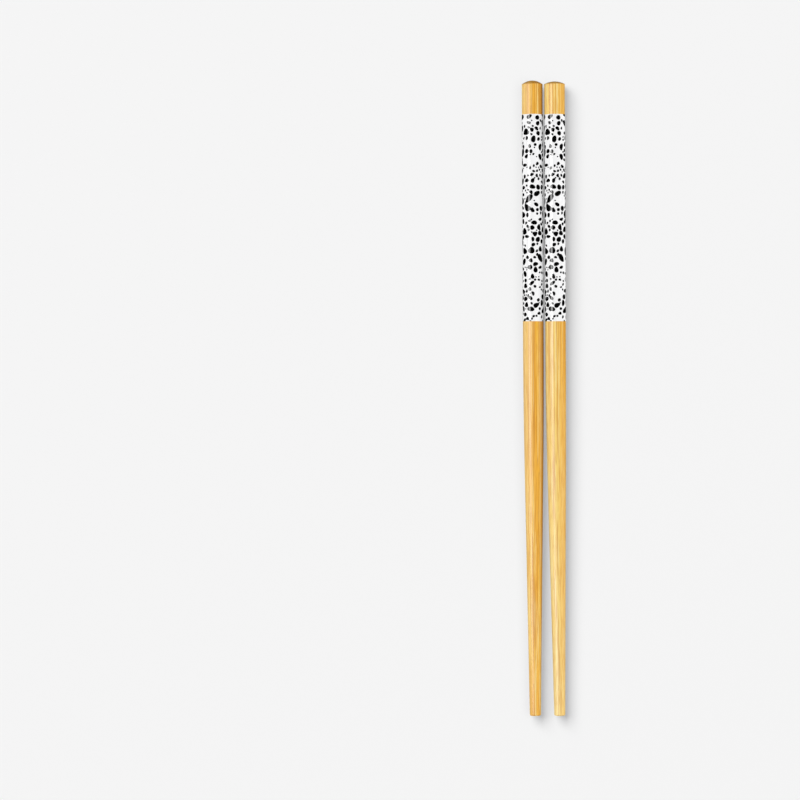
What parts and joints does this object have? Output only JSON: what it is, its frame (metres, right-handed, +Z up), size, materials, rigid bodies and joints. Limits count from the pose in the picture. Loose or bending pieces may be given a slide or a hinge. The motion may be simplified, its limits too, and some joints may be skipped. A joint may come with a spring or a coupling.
{
  "type": "pair of bamboo chopsticks",
  "caption": "Pair of round tapered bamboo chopsticks lying side by side, white film with black pebble spots round each handle.",
  "frame": {"origin": "middle of the pair's footprint, on the surface that the films rest on", "axes": "+Y along the sticks towards the handle ends, +X from the left stick to the right one, +Z up"},
  "size_m": [0.0168, 0.24, 0.0079],
  "materials": {
    "bamboo": "clear lacquered bamboo, satin",
    "white_film": "glossy white transfer film",
    "black_ink": "glossy black print"
  },
  "bodies": {
    "root": {"left_stick": "bamboo", "right_stick": "bamboo", "left_film": "white_film", "right_film": "white_film", "left_spots": "black_ink", "right_spots": "black_ink"}
  },
  "joints": []
}
